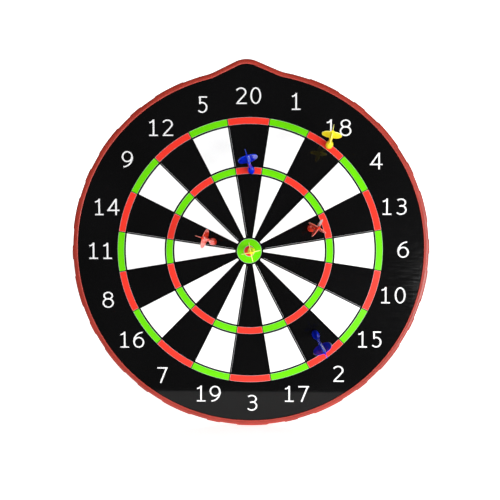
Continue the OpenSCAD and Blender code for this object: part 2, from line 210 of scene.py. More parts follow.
class Shader(NodeTree):
    """A new material and its node tree."""

    def __init__(self, name):
        self.material = bpy.data.materials.new(name)
        self.material.use_nodes = True
        super().__init__(self.material.node_tree, "Object")
        self.surface = self.tree.nodes["Principled BSDF"]

    def set(self, **values):
        """Values or links for the surface's inputs, with _ for a space in a name."""
        for name, value in values.items():
            self.feed(self.surface.inputs[name.replace("_", " ")], value)

    def peel(self, strength):
        """The slight orange peel of a glossy laminate."""
        return self.bump(self.noise(160, 2), 0.02 * MM, strength)

    def marked(self, name, patchy):
        """How much of a mark painted on the mesh shows, broken up by a fine noise."""
        mark = self.add("ShaderNodeAttribute", attribute_name=name).outputs["Fac"]
        broken = self.ramp(self.noise(260, 3), 1 - patchy, 1.0, 0.35, 0.65)
        product = self.add("ShaderNodeMath", operation="MULTIPLY")
        self.feed(product.inputs[0], mark)
        self.feed(product.inputs[1], broken)
        return product.outputs[0]


def scaled(colour, amount):
    """A colour made darker or lighter."""
    return tuple(part * amount for part in colour)


# ---- Materials ----

def film_material():
    """Glossy black laminate: a slight orange peel, faint smears and hairline scuffs."""
    shader = Shader("black_film")
    smear = shader.noise(9, 3)
    scuff = shader.noise(60, 4, 0.6, stretch=(1, 1, 9))
    colour = shader.ramp(smear, (0.0018, 0.0018, 0.0019), (0.0028, 0.0028, 0.0030), 0.3, 0.7)
    shader.set(
        Base_Color=colour,
        Roughness=shader.ramp(scuff, 0.05, 0.13, 0.4, 0.75),
        IOR=1.33,
        Normal=shader.peel(0.35),
    )
    return shader.material


def ink_material(name, colour):
    """Ink under the same gloss, with a fine mottle and a soft variation in its depth."""
    shader = Shader(name)
    mottle = shader.noise(900, 2)
    depth = shader.noise(14, 3)
    full = shader.ramp(mottle, scaled(colour, 0.965), colour, 0.3, 0.6)
    thin = (*scaled(colour, 0.93), 1)
    shader.set(
        Base_Color=shader.blend(shader.ramp(depth, 0.0, 0.35, 0.35, 0.8), full, thin),
        Roughness=shader.ramp(depth, 0.12, 0.20, 0.3, 0.7),
        IOR=1.38,
        Normal=shader.peel(0.3),
    )
    return shader.material


def rim_material():
    """Moulded red edging: satin, with a fine grain, a painted highlight inside and painted shade
    outside.
    """
    shader = Shader("red_rim")
    red = (0.32, 0.021, 0.009)
    patch = shader.noise(34, 3)
    base = shader.ramp(patch, scaled(red, 0.88), scaled(red, 1.12), 0.3, 0.7)
    # Painted highlight: a paler red along the lip's inner edge. Painted shade: a darker red down
    # the outside
    highlighted = shader.blend(shader.marked("wear", 0.35), base, (0.48, 0.05, 0.035, 1))
    colour = shader.blend(shader.marked("painted_shade", 0.3), highlighted, (*scaled(red, 0.6), 1))
    grain = shader.noise(1500, 3, 0.6)
    coarse = shader.bump(shader.noise(210, 3), 0.12 * MM, 0.5)
    shader.set(
        Base_Color=colour,
        Roughness=shader.ramp(patch, 0.36, 0.48, 0.3, 0.7),
        IOR=1.48,
        Normal=shader.bump(grain, 0.06 * MM, 0.4, over=coarse),
    )
    return shader.material


def dart_material(name, colour, deep, pale):
    """Glossy moulded plastic: flow marks that run off the face, scuffs, and a paler painted
    highlight along thin edges.
    """
    shader = Shader(name)
    flow = shader.noise(240, 3, 0.5, stretch=(1, 0.25, 1))
    scuff = shader.noise(500, 4, 0.6, stretch=(1, 0.3, 1))
    base = shader.ramp(flow, deep, colour, 0.3, 0.65)
    ripple = shader.bump(shader.noise(420, 2), 0.03 * MM, 0.08)
    shader.set(
        # A paler tone painted along the fins' edges as a highlight
        Base_Color=shader.blend(shader.marked("wear", 0.3), base, (*pale, 1)),
        Roughness=shader.ramp(scuff, 0.10, 0.22, 0.45, 0.75),
        IOR=1.36,
        Normal=shader.bump(scuff, 0.01 * MM, 0.06, over=ripple),
    )
    return shader.material


def metal_material(name, colour, rough, scale, stretch):
    """Plated metal with fine drawn or turned marks and a few duller patches."""
    shader = Shader(name)
    marks = shader.noise(scale, 3, 0.6, stretch=stretch)
    patch = shader.noise(120, 3)
    shader.set(
        Base_Color=shader.ramp(patch, scaled(colour, 0.86), colour, 0.35, 0.65),
        Metallic=1.0,
        Roughness=shader.ramp(marks, rough, rough + 0.16, 0.3, 0.75),
        Normal=shader.bump(marks, 0.01 * MM, 0.5),
    )
    return shader.material


def zinc_material():
    """Zinc-plated pressed steel with a faint crystal spangle."""
    shader = Shader("hanger_steel")
    spangle = shader.cells(420)
    marks = shader.noise(700, 3, 0.6, stretch=(6, 1, 1))
    shader.set(
        Base_Color=shader.ramp(spangle, (0.50, 0.51, 0.53), (0.68, 0.68, 0.69), 0.2, 0.8),
        Metallic=1.0,
        Roughness=shader.ramp(marks, 0.28, 0.46, 0.3, 0.7),
        Normal=shader.bump(marks, 0.01 * MM, 0.4),
    )
    return shader.material


def cover_material():
    """Charcoal cover paper with a pebbled emboss and paper fibres."""
    shader = Shader("back_cover")
    pebble = shader.cells(520, "SMOOTH_F1")
    fibre = shader.noise(900, 4, 0.6, stretch=(1, 1, 0.15))
    tone = shader.noise(7, 4)
    base = shader.ramp(tone, (0.036, 0.036, 0.040), (0.060, 0.060, 0.064), 0.3, 0.7)
    wear_and_highlight = shader.ramp(shader.noise(45, 5, 0.65), 0.0, 0.5, 0.56, 0.8)
    colour = shader.blend(wear_and_highlight, base, (0.10, 0.10, 0.105, 1))
    emboss = shader.bump(pebble, 0.25 * MM, 0.6)
    shader.set(
        Base_Color=colour,
        Roughness=shader.ramp(fibre, 0.50, 0.72, 0.3, 0.7),
        Normal=shader.bump(fibre, 0.04 * MM, 0.4, over=emboss),
    )
    return shader.material


def fibre_material():
    """Pressed fibre board: brown, with flecks and long fibres."""
    shader = Shader("fibre_core")
    fibre = shader.noise(350, 5, 0.65, stretch=(1, 4, 1))
    fleck = shader.cells(700)
    base = shader.ramp(fibre, (0.34, 0.22, 0.12), (0.60, 0.45, 0.29), 0.3, 0.7)
    colour = shader.blend(shader.ramp(fleck, 0.5, 0.0, 0.05, 0.3), base, (0.20, 0.12, 0.06, 1))
    shader.set(Base_Color=colour, Roughness=0.85, Normal=shader.bump(fibre, 0.1 * MM, 0.6))
    return shader.material


def rubber_material():
    """Black rubber: dusty in patches, with a fine moulded grain."""
    shader = Shader("wall_pad_rubber")
    dust = shader.noise(160, 4, 0.6)
    grain = shader.cells(1800)
    shader.set(
        Base_Color=shader.ramp(dust, (0.018, 0.018, 0.018), (0.055, 0.053, 0.050), 0.4, 0.75),
        Roughness=shader.ramp(dust, 0.58, 0.82, 0.3, 0.7),
        Normal=shader.bump(grain, 0.08 * MM, 0.5),
    )
    return shader.material


INKS = {
    "white_ink": (0.92, 0.92, 0.925),
    "number_ink": (0.80, 0.80, 0.805),
    "red_ink": (0.78, 0.036, 0.021),
    "green_ink": (0.128, 0.63, 0.002),
    "hairline_ink": (0.42, 0.42, 0.43),
}
# Colour, lowest roughness, marks to the metre and how they are stretched
METALS = {
    "steel_sheet": ((0.56, 0.57, 0.59), 0.22, 300, (1, 1, 14)),
    "rivet_steel": ((0.62, 0.62, 0.63), 0.24, 1600, (1, 1, 1)),
    "ring_wire": ((0.80, 0.80, 0.81), 0.10, 900, (5, 1, 1)),
    "dart_magnet": ((0.66, 0.65, 0.62), 0.16, 1300, (1, 1, 1)),
}
# Colour, the deeper tone of its flow marks and the paler one painted on its thin edges as a
# highlight
PLASTICS = {
    "blue": ((0.001, 0.018, 0.56), (0.001, 0.005, 0.30), (0.006, 0.05, 0.62)),
    "yellow": ((1.0, 0.87, 0.035), (1.0, 0.79, 0.020), (1.0, 0.96, 0.28)),
    "red": ((0.72, 0.046, 0.020), (0.58, 0.024, 0.010), (0.84, 0.20, 0.15)),
}


def make_materials():
    """Every material of the record, by its slot."""
    made = {
        "black_film": film_material(),
        "red_rim": rim_material(),
        "back_cover": cover_material(),
        "fibre_core": fibre_material(),
        "hanger_steel": zinc_material(),
        "wall_pad_rubber": rubber_material(),
    }
    for slot, colour in INKS.items():
        made[slot] = ink_material(slot, colour)
    for slot, look in METALS.items():
        made[slot] = metal_material(slot, *look)
    for name, tones in PLASTICS.items():
        for slot in (name + "_dart_plastic", name + "_flight_plastic"):
            made[slot] = dart_material(slot, *tones)
    return made


def dress(piece, slot):
    """Gives a piece the material of one of the record's slots."""
    piece.data.materials.clear()
    piece.data.materials.append(MATERIALS[slot])


# ---- Mesh helpers ----

WELD = 0.0001 * MM
SHARP_EDGE = math.radians(38)


def make_piece(name, vertices, faces, slot, body, nodes, matrix=None, marks=None):
    """A smooth-shaded piece that rides on a body and stands for some CAD nodes.

    marks holds values per vertex for the materials, such as where a highlight or a shade is
    painted.
    """
    mesh = bpy.data.meshes.new(name)
    mesh.from_pydata(vertices, [], faces)
    if matrix:
        mesh.transform(matrix)
    for mark, values in (marks or {}).items():
        mesh.attributes.new(mark, "FLOAT", "POINT").data.foreach_set("value", values)
    tidy = bmesh.new()
    tidy.from_mesh(mesh)
    bmesh.ops.remove_doubles(tidy, verts=tidy.verts, dist=WELD)
    bmesh.ops.recalc_face_normals(tidy, faces=tidy.faces)
    tidy.to_mesh(mesh)
    tidy.free()
    mesh.polygons.foreach_set("use_smooth", [True] * len(mesh.polygons))
    mesh.set_sharp_from_angle(angle=SHARP_EDGE)
    piece = bpy.data.objects.new(name, mesh)
    bpy.context.scene.collection.objects.link(piece)
    dress(piece, slot)
    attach(piece, body)
    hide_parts(*nodes)


def ring_faces(rows, count, closed_rows=False):
    """Quads between rows of count points, where each row is a closed loop."""
    faces = []
    for row in range(rows if closed_rows else rows - 1):
        here, there = row * count, (row + 1) % rows * count
        for j in range(count):
            after = (j + 1) % count
            faces.append((here + j, here + after, there + after, there + j))
    return faces


def capped_faces(rows, count):
    """The same, with a face over the first row and one over the last."""
    last = tuple(reversed(range((rows - 1) * count, rows * count)))
    return ring_faces(rows, count) + [tuple(range(count)), last]


def lathe(profile, sides, ripple=None):
    """Turns a profile of (radius, height) points about Z. A radius of 0 closes an end."""
    vertices = []
    for radius, height in profile:
        for j in range(sides):
            turn = 2 * math.pi * j / sides
            r = radius + (ripple(radius, height, turn) if ripple and radius > 0 else 0)
            vertices.append((r * math.cos(turn), r * math.sin(turn), height))
    return vertices, ring_faces(len(profile), sides)


def joined(*parts):
    """Several (vertices, faces) pairs as one."""
    vertices, faces = [], []
    for more_vertices, more_faces in parts:
        faces += [tuple(len(vertices) + i for i in face) for face in more_faces]
        vertices += more_vertices
    return vertices, faces


def moved(part, matrix):
    """A (vertices, faces) pair with its vertices moved by a matrix."""
    vertices, faces = part
    return [tuple(matrix @ Vector(v)) for v in vertices], faces


def arc_points(centre, radius, start, end, steps):
    """Points on an arc, from one angle in degrees to another."""
    turns = [math.radians(start + (end - start) * i / steps) for i in range(steps + 1)]
    return [(centre[0] + radius * math.cos(t), centre[1] + radius * math.sin(t)) for t in turns]


def smooth(value):
    """0 below 0, 1 above 1 and a smooth step between."""
    t = min(1.0, max(0.0, value))
    return t * t * (3 - 2 * t)


# ---- Rim ----

# The peak's straight flanks, the hollow arcs that join them to the circle, and how closely the
# outline's points lie
PEAK_SLOPE = math.radians(24.5)
SHOULDER_R = 60 * MM
PATH_STEP = 0.8 * MM
# The grip pads, long and short by turns: their spans, the ramps at their ends and the arc at each
# side of the top that has none, in degrees, and their ends' slant, in degrees for each millimetre
# in from the outline
GRIP_PAIRS = 14
LONG_GRIP = 10.2
SHORT_GRIP = 4.4
GRIP_RAMP = 0.5
PEAK_ARC = 15
GRIP_SLANT = 0.15
# How far the pads stand out from the outline and from the front
GRIP_H = 0.9 * MM
GRIP_SWELL = 0.22 * MM
# How far each layer's ends lie off the middle, the gap there in steps of the outline's points, and
# the rows of points in each half
RIM_LAP = 5 * MM
SEAM = 0.06
RIM_ROWS = 760

# The rim's section: (distance in from the outline, distance off the wall, share of the pads'
# height), in millimetres, from the front lip's inner edge round the outside to the back lip
RIM_SECTION = [
    (6.20, 10.02, 0), (6.30, 10.35, 0), (6.24, 10.76, 0), (6.00, 11.04, 0), (5.60, 11.18, 0),
    (5.20, 11.16, 0), (4.90, 11.24, 0.02), (4.20, 11.42, 0.08), (3.40, 11.50, 0.16),
    (2.60, 11.48, 0.28), (1.80, 11.34, 0.45), (1.10, 11.06, 0.65), (0.55, 10.66, 0.82),
    (0.18, 10.14, 0.94), (0.02, 9.50, 1), (0.00, 8.70, 1), (0.00, 7.65, 1), (0.00, 7.55, 1),
    (0.00, 6.40, 1), (0.00, 5.30, 0.9), (0.12, 4.60, 0.6), (0.50, 4.02, 0.25), (1.10, 3.68, 0),
    (1.90, 3.60, 0), (4.20, 3.60, 0), (6.60, 3.60, 0), (7.20, 3.76, 0), (7.50, 4.14, 0),
    (7.48, 4.70, 0), (7.30, 4.97, 0), (4.50, 4.97, 0), (1.62, 4.97, 0), (1.62, 7.55, 0),
    (1.62, 7.65, 0), (1.62, 10.02, 0), (4.00, 10.02, 0),
]


def outline_path():
    """Points of the board's outline with outward normals, clockwise from the peak.

    The flank runs from start along way, out is its normal, and hollow is the middle of the
    shoulder's arc, which touches both the flank and the circle.
    """
    out = Vector((math.sin(PEAK_SLOPE), math.cos(PEAK_SLOPE)))
    way = Vector((math.cos(PEAK_SLOPE), -math.sin(PEAK_SLOPE)))
    start = Vector((0, TIP_Z)) + PEAK_TIP_R * out
    base = start + SHOULDER_R * out
    along = base.dot(way)
    spare = base.length_squared - (BOARD_R + SHOULDER_R) ** 2
    hollow = base - way * (along + math.sqrt(along ** 2 - spare))
    points = []

    def add_arc(centre, radius, first, last, sign):
        steps = max(2, int(abs(last - first) * radius / PATH_STEP))
        for i in range(steps):
            turn = first + (last - first) * i / steps
            normal = Vector((math.cos(turn), math.sin(turn)))
            points.append((Vector(centre) + radius * normal, normal * sign))

    quarter = math.pi / 2
    add_arc((0, TIP_Z), PEAK_TIP_R, quarter, quarter - PEAK_SLOPE, 1)
    flank_end = hollow - SHOULDER_R * out
    steps = max(2, int((flank_end - start).length / PATH_STEP))
    points.extend((start.lerp(flank_end, i / steps), out.copy()) for i in range(steps))
    meet = math.atan2(-hollow.y, -hollow.x)
    add_arc(hollow, SHOULDER_R, -quarter - PEAK_SLOPE, meet, -1)
    add_arc((0, 0), BOARD_R, math.atan2(hollow.y, hollow.x), -quarter, 1)
    bottom = (Vector((0, -BOARD_R)), Vector((0, -1)))
    left = [(Vector((-p.x, p.y)), Vector((-n.x, n.y))) for p, n in reversed(points[1:])]
    return points + [bottom] + left


def pad_height(degrees):
    """Height of the grip pads at an angle clockwise from the top, with ramped ends."""
    if min(degrees, 360 - degrees) < PEAK_ARC:
        return 0
    step = 360 / GRIP_PAIRS
    height = 0
    for middle_at, span in ((0, LONG_GRIP), (step / 2, SHORT_GRIP)):
        away = (degrees - middle_at + step / 2) % step - step / 2
        inside = span / 2 - abs(away)
        height = max(height, smooth(inside / GRIP_RAMP + 0.5))
    return height * GRIP_H


def rim_point(path, place, section):
    """A point of the rim's skin at a fractional place along the path."""
    step = math.floor(place)
    here, there = path[step % len(path)], path[(step + 1) % len(path)]
    point = here[0].lerp(there[0], place - step)
    normal = here[1].lerp(there[1], place - step).normalized()
    inset, off, share = section
    turn = math.degrees(math.atan2(point.x, point.y)) + GRIP_SLANT * inset
    lift = share * pad_height(turn % 360)
    spot = point - normal * inset * MM + normal * lift
    on_front = inset > 0.4 and off > 10
    swell = GRIP_SWELL * (lift / GRIP_H) if on_front else 0
    spot.rotate(Matrix.Rotation(OUTLINE_TURN, 2))
    return spot.x, -off * MM - swell, spot.y + CENTRE_Z


def rim_marks(section):
    """Where a highlight is painted along the rim's inner band, and where shade is painted down its
    outside.
    """
    inset, off = section[:2]
    wear_and_highlight = smooth((inset - 4.9) / 0.6) if off > 10.3 else 0.0
    outer_shade = smooth((0.5 - inset) / 0.35)
    return wear_and_highlight, outer_shade


def make_rim_half(path, name, upper):
    """Half of the rim. Its front layer ends 5 mm above the middle, its back layer 5 mm below."""
    split = (RIM_BACK + RIM_FRONT) / -2 / MM
    joint = {}
    for layer, height in (("front", RIM_LAP), ("back", -RIM_LAP)):
        after = next(i for i in range(1, len(path)) if path[i][0].y < height)
        above, below = path[after - 1][0].y, path[after][0].y
        joint[layer] = after - 1 + (above - height) / (above - below)
    vertices = []
    for row in range(RIM_ROWS):
        for section in RIM_SECTION:
            right = joint["front" if section[1] > split else "back"]
            far = right - SEAM if upper else right + SEAM
            near = -far if upper else len(path) - far
            place = near + (far - near) * (row / (RIM_ROWS - 1))
            vertices.append(rim_point(path, place, section))
    faces = capped_faces(RIM_ROWS, len(RIM_SECTION))
    # The painted highlight and the painted shade at each point of the section
    wear_and_highlight, outer_shade = zip(*(rim_marks(section) for section in RIM_SECTION))
    marks = {"wear": wear_and_highlight * RIM_ROWS, "painted_shade": outer_shade * RIM_ROWS}
    make_piece(name + "_moulding", vertices, faces, "red_rim", "board", [name], marks=marks)


# ---- Darts ----

# A dart's sizes. Those in _U are distances along it from its tip, and u is any such distance
DART_L = 78 * MM
NOSE_U = 0.9 * MM
NOSE_R = 4.1 * MM
BULB_U = 7 * MM
BULB_R = 4.75 * MM
TAPER_U = 29 * MM
STEM_R = 1.9 * MM
STEM_U = 46 * MM
SHAFT_R = 1.15 * MM
SOCKET_R = 1.2 * MM
SOCKET_U = 34 * MM
MAGNET_R = 3.7 * MM
MAGNET_T = 3.2 * MM
DOME_R = 25 * MM
FIN_REACH = 11.5 * MM
FIN_CHORD = 30 * MM
LEAF_POWER = 0.8
BEAD = 0.4 * MM
BEAD_FADE = 0.8 * MM
WEB = 0.28 * MM
ROOT_R = 0.8 * SHAFT_R
ROOT_FILLET = 0.9 * MM
ROOT_GROWTH = 0.45 * MM
RIDGE_H = 0.04 * MM
RIDGE_HALF = 0.35 * MM
BODY_SIDES = 72
MAGNET_SIDES = 64
SHAFT_SIDES = 32
FLIGHT_ROWS = 56
FIN_EDGE_STEPS = 90

# The rings moulded round the stem: (distance along it, how far they stand out), in millimetres
COLLAR = [(38, 0), (43, 0), (43.2, 0.08), (43.6, 0.08), (43.8, 0), (45.4, 0), (45.8, -0.12)]


def solid_centre(node):
    """The centre of a CAD node's volume."""
    mesh = frame["nodes"][node].data
    mesh.calc_loop_triangles()
    total, centre = 0.0, Vector()
    anchor = mesh.vertices[0].co
    for triangle in mesh.loop_triangles:
        a, b, c = (mesh.vertices[i].co - anchor for i in triangle.vertices)
        share = a.dot(b.cross(c))
        total += share
        centre += share * (a + b + c) / 4
    return anchor + centre / total


def dart_place(dart):
    """Where a dart lies: its nose at the origin, its axis along Z and a fin along X."""
    nose = solid_centre(dart + "_magnet")
    axis = (solid_centre(dart + "_flight") - nose).normalized()
    seat = min((v.co - nose).dot(axis) for v in frame["nodes"][dart + "_magnet"].data.vertices)
    origin = nose + axis * seat
    spread = []
    for vertex in frame["nodes"][dart + "_flight"].data.vertices:
        offset = vertex.co - origin
        spread.append(offset - axis * offset.dot(axis))
    reach = max(offset.length for offset in spread)
    tips = [offset for offset in spread if offset.length > reach - 0.01 * MM]
    tips = [offset for offset in tips if offset.angle(tips[0]) < math.radians(20)]
    fin = sum(tips, Vector()).normalized()
    side = axis.cross(fin)
    matrix = Matrix((fin, side, axis)).transposed().to_4x4()
    matrix.translation = origin
    return matrix


def bulb_radius(u):
    """The body's radius: the bulb, and its taper into the stem."""
    if u < BULB_U:
        return NOSE_R + (BULB_R - NOSE_R) * math.sqrt(1 - ((BULB_U - u) / (BULB_U - NOSE_U)) ** 2)
    taper = (1 + math.cos(math.pi * (u - BULB_U) / (TAPER_U - BULB_U))) / 2
    return STEM_R + (BULB_R - STEM_R) * taper


def seam_ridge(radius, height, turn):
    """The mould's parting line: two low ridges down a dart's sides."""
    away = abs((turn + math.pi / 2) % math.pi - math.pi / 2) * radius
    return RIDGE_H * smooth(1 - away / RIDGE_HALF) if height > NOSE_U else 0


def dart_body_mesh():
    """The body: the magnet's pocket, the bulb, the stem with its collar and the shaft's socket."""
    pocket_r = MAGNET_R + 0.02 * MM
    profile = [(0, MAGNET_T), (pocket_r, MAGNET_T), (pocket_r, NOSE_U)]
    profile += [(NOSE_R - 0.35 * MM, NOSE_U), (NOSE_R - 0.1 * MM, NOSE_U + 0.05 * MM)]
    steps = 44
    crowding = 1.25
    for i in range(1, steps + 1):
        u = NOSE_U + (TAPER_U - NOSE_U) * (i / steps) ** crowding
        profile.append((bulb_radius(u), u))
    profile += [(STEM_R + grow * MM, u * MM) for u, grow in COLLAR]
    profile += [(STEM_R - 0.4 * MM, STEM_U), (SOCKET_R, STEM_U)]
    profile += [(SOCKET_R, SOCKET_U), (0, SOCKET_U)]
    return lathe(profile, BODY_SIDES, seam_ridge)


def dart_magnet_mesh():
    """The magnet: a disc with rounded edges and a domed face."""
    edge = 0.15 * MM
    steps = 14
    profile = [(0, 0)]
    for i in range(1, steps + 1):
        radius = (MAGNET_R - edge) * i / steps
        profile.append((radius, DOME_R - math.sqrt(DOME_R ** 2 - radius ** 2)))
    rise = DOME_R - math.sqrt(DOME_R ** 2 - MAGNET_R ** 2)
    profile += [(MAGNET_R, rise + edge), (MAGNET_R, MAGNET_T - edge), (MAGNET_R - edge, MAGNET_T)]
    return lathe(profile + [(0, MAGNET_T)], MAGNET_SIDES)


def fin_outline(steps):
    """Half of the leaf outline: (reach, distance along the dart)."""
    points = []
    for i in range(steps + 1):
        turn = math.pi * i / steps
        reach = FIN_REACH * max(0.0, math.sin(turn)) ** LEAF_POWER
        points.append(Vector((reach, STEM_U + FIN_CHORD * (1 - math.cos(turn)) / 2)))
    return points


def edge_distance(point, outline):
    """How far a point lies from an outline of short straight pieces."""
    nearest = math.inf
    for start, end in zip(outline, outline[1:]):
        way = end - start
        along = min(1.0, max(0.0, (point - start).dot(way) / way.length_squared))
        nearest = min(nearest, (point - start - way * along).length)
    return nearest


def fin_half_thickness(distance):
    """Half the fin's thickness: a rounded bead along the edge, then the thinner web."""
    if distance < BEAD:
        return math.sqrt(max(0.0, BEAD ** 2 - (BEAD - distance) ** 2))
    return WEB + (BEAD - WEB) * smooth(1 - (distance - BEAD) / BEAD_FADE)


def flight_section(u, reach, outline):
    """One closed loop round the flight: four fins with filleted roots."""
    steps = 11
    side = []
    for i in range(steps + 1):
        r = ROOT_R + max(0.0, reach - ROOT_R) * math.sin(math.pi / 2 * i / steps)
        half = 0.0
        if reach > SHAFT_R:
            half = fin_half_thickness(edge_distance(Vector((r, u)), outline))
        rise = smooth((reach - r) / ROOT_FILLET)
        half += ROOT_GROWTH * (1 - smooth((r - SHAFT_R) / ROOT_FILLET)) * rise
        inside_shaft = math.sqrt(max(0.0, SHAFT_R ** 2 - r ** 2))
        side.append((r, max(half, inside_shaft)))
    side[-1] = (max(reach, SHAFT_R), 0.0)
    fin = [(r, -half) for r, half in side] + list(reversed(side[:-1]))
    nook = 1.02 * SHAFT_R
    loop = []
    for quarter in range(4):
        turn = math.pi / 2 * quarter
        cosine, sine = math.cos(turn), math.sin(turn)
        loop += [(r * cosine - half * sine, r * sine + half * cosine, u) for r, half in fin]
        between = turn + math.pi / 4
        loop.append((nook * math.cos(between), nook * math.sin(between), u))
    return loop


def fin_edge_highlight(vertices, outline):
    """1 along a fin's rounded edge, where a highlight is painted, fading to 0 inside it."""
    wear = []
    for x, y, u in vertices:
        reach = max(abs(x), abs(y))
        near = edge_distance(Vector((reach, u)), outline)
        wear.append(smooth(1.3 - near / BEAD) if reach > 2 * SHAFT_R else 0.0)
    return wear


def flight_mesh():
    """The flight's mesh and where a highlight is painted along its fins' edges."""
    outline = fin_outline(FIN_EDGE_STEPS)
    stations = [(point.y, point.x) for point in fin_outline(FLIGHT_ROWS)[1:-1]]
    vertices = []
    for u, reach in stations:
        vertices += flight_section(u, reach, outline)
    faces = capped_faces(len(stations), len(vertices) // len(stations))
    foot = SOCKET_U + 0.1 * MM
    rounding = 0.5 * MM
    profile = [(0, foot), (SHAFT_R - 0.2 * MM, foot), (SHAFT_R, foot + 0.3 * MM)]
    profile += arc_points((SHAFT_R - rounding, DART_L - rounding), rounding, 0, 90, 4)
    shaft = lathe(profile + [(0, DART_L)], SHAFT_SIDES)
    wear = fin_edge_highlight(vertices, outline) + [0.0] * len(shaft[0])
    return joined((vertices, faces), shaft), wear


def make_darts():
    """Six darts of three pieces each, placed where the frame's darts lie."""
    flight, fin_highlight = flight_mesh()
    parts = {
        "body": (dart_body_mesh(), None, "_dart_plastic"),
        "flight": (flight, {"wear": fin_highlight}, "_flight_plastic"),
        "magnet": (dart_magnet_mesh(), None, None),
    }
    for dart, colour in DARTS.items():
        place = dart_place(dart)
        for part, (mesh, marks, finish) in parts.items():
            slot = colour + finish if finish else "dart_magnet"
            node = dart + "_" + part
            make_piece(node + "_moulded", *mesh, slot, dart, [node], place, marks)


# ---- Hanger and wall pads ----

WIRE_R = 1.2 * MM
WIRE_SIDES = 20
RING_R = 11 * MM
RING_CORNER = 2.2 * MM
PIVOT = Vector((0, middle("hanger_ring").y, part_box("hanger_ring")[1].z - RING_R - WIRE_R))
STRAP_CORNER = 4 * MM
STRAP_T = 1 * MM
PLATE_STEPS = 40
FACING_OUT = Matrix.Rotation(math.radians(90), 4, "X")


def wire_loop(path, radius, sides):
    """A round wire along a closed flat path of points in X and Z, at y = 0."""
    vertices = []
    for i, point in enumerate(path):
        way = (Vector(path[(i + 1) % len(path)]) - Vector(path[i - 1])).normalized()
        across = Vector((-way.y, way.x))
        for j in range(sides):
            turn = 2 * math.pi * j / sides
            spot = Vector(point) + across * radius * math.cos(turn)
            vertices.append((spot.x, radius * math.sin(turn), spot.y))
    return vertices, ring_faces(len(path), sides, closed_rows=True)


def make_ring():
    """The hanging ring: an arc of wire over a straight bar, with rounded corners between."""
    rise = 0.9 * RING_CORNER
    path = arc_points((0, 0), RING_R, 12, 168, 60)
    path += arc_points((-RING_R + RING_CORNER, rise), RING_CORNER, 190, 270, 8)
    path += [(x * MM, rise - RING_CORNER) for x in range(-7, 8)]
    path += arc_points((RING_R - RING_CORNER, rise), RING_CORNER, 270, 350, 8)
    part = moved(wire_loop(path, WIRE_R, WIRE_SIDES), Matrix.Translation(PIVOT))
    make_piece("hanger_ring_wire", *part, "ring_wire", "hanger_ring", ["hanger_ring"])


def strap_path():
    """Centre line of the strap in Y and Z: up the plate, then round the ring's bar."""
    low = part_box("hanger_strap")[0]
    plate_y = low.y + STRAP_T / 2
    rise = PIVOT.z - low.z
    plate = [(plate_y, low.z + rise * i / PLATE_STEPS) for i in range(PLATE_STEPS)]
    return plate + arc_points((PIVOT.y, PIVOT.z), abs(plate_y - PIVOT.y), 180, -128, 40)


def make_strap():
    """The strap: a ribbon, thinner round the bar, with rounded edges and round lower corners."""
    low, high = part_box("hanger_strap")
    square_half = (high.x - low.x) / 2 - STRAP_CORNER
    path = strap_path()
    edge = [(1, -0.6), (0.98, -0.9), (0.94, -1)] + [(x / 5, -1) for x in range(4, -5, -1)]
    edge += [(-0.94, -1), (-0.98, -0.9), (-1, -0.6)]
    loop = edge + [(-x, -t) for x, t in edge]
    vertices = []
    travelled = 0.0
    for i, point in enumerate(path):
        before, after = Vector(path[max(0, i - 1)]), Vector(path[min(len(path) - 1, i + 1)])
        if i:
            travelled += (Vector(point) - Vector(path[i - 1])).length
        way = (after - before).normalized()
        normal = Vector((-way.y, way.x))
        short = max(0.0, STRAP_CORNER - travelled)
        half_width = square_half + math.sqrt(max(0.0, STRAP_CORNER ** 2 - short ** 2))
        half_thick = (0.44 if i > PLATE_STEPS + 4 else 0.48) * STRAP_T
        for x, t in loop:
            spot = Vector(point) + normal * half_thick * t
            vertices.append((x * half_width, spot.x, spot.y))
    faces = capped_faces(len(path), len(loop))
    make_piece("hanger_strap_pressed", vertices, faces, "hanger_steel", "board", ["hanger_strap"])


def make_rivets():
    """Two rivets: a domed head on the strap, a shank and a flat set head in the core."""
    low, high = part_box("hanger_rivets")
    head_r = (high.x - low.x) / 2
    length = high.y - low.y
    head_t = 1 * MM
    set_t = 0.7 * MM
    shank_r = 1.5 * MM
    sides = 40
    profile = [(0, 0)] + [(head_r * i / 8, 0.8 * head_t * (i / 8) ** 2) for i in range(1, 9)]
    profile += [(head_r, head_t * 0.92), (head_r - 0.1 * MM, head_t), (shank_r, head_t)]
    profile += [(shank_r, length - set_t), (head_r - 0.1 * MM, length - set_t)]
    profile += [(head_r, length - set_t + 0.1 * MM), (head_r, length), (0, length)]
    parts = []
    for z in (high.z - head_r, low.z + head_r):
        at = Matrix.Translation((0, high.y, z)) @ FACING_OUT
        parts.append(moved(lathe(profile, sides), at))
    make_piece("hanger_rivets_set", *joined(*parts), "rivet_steel", "board", ["hanger_rivets"])


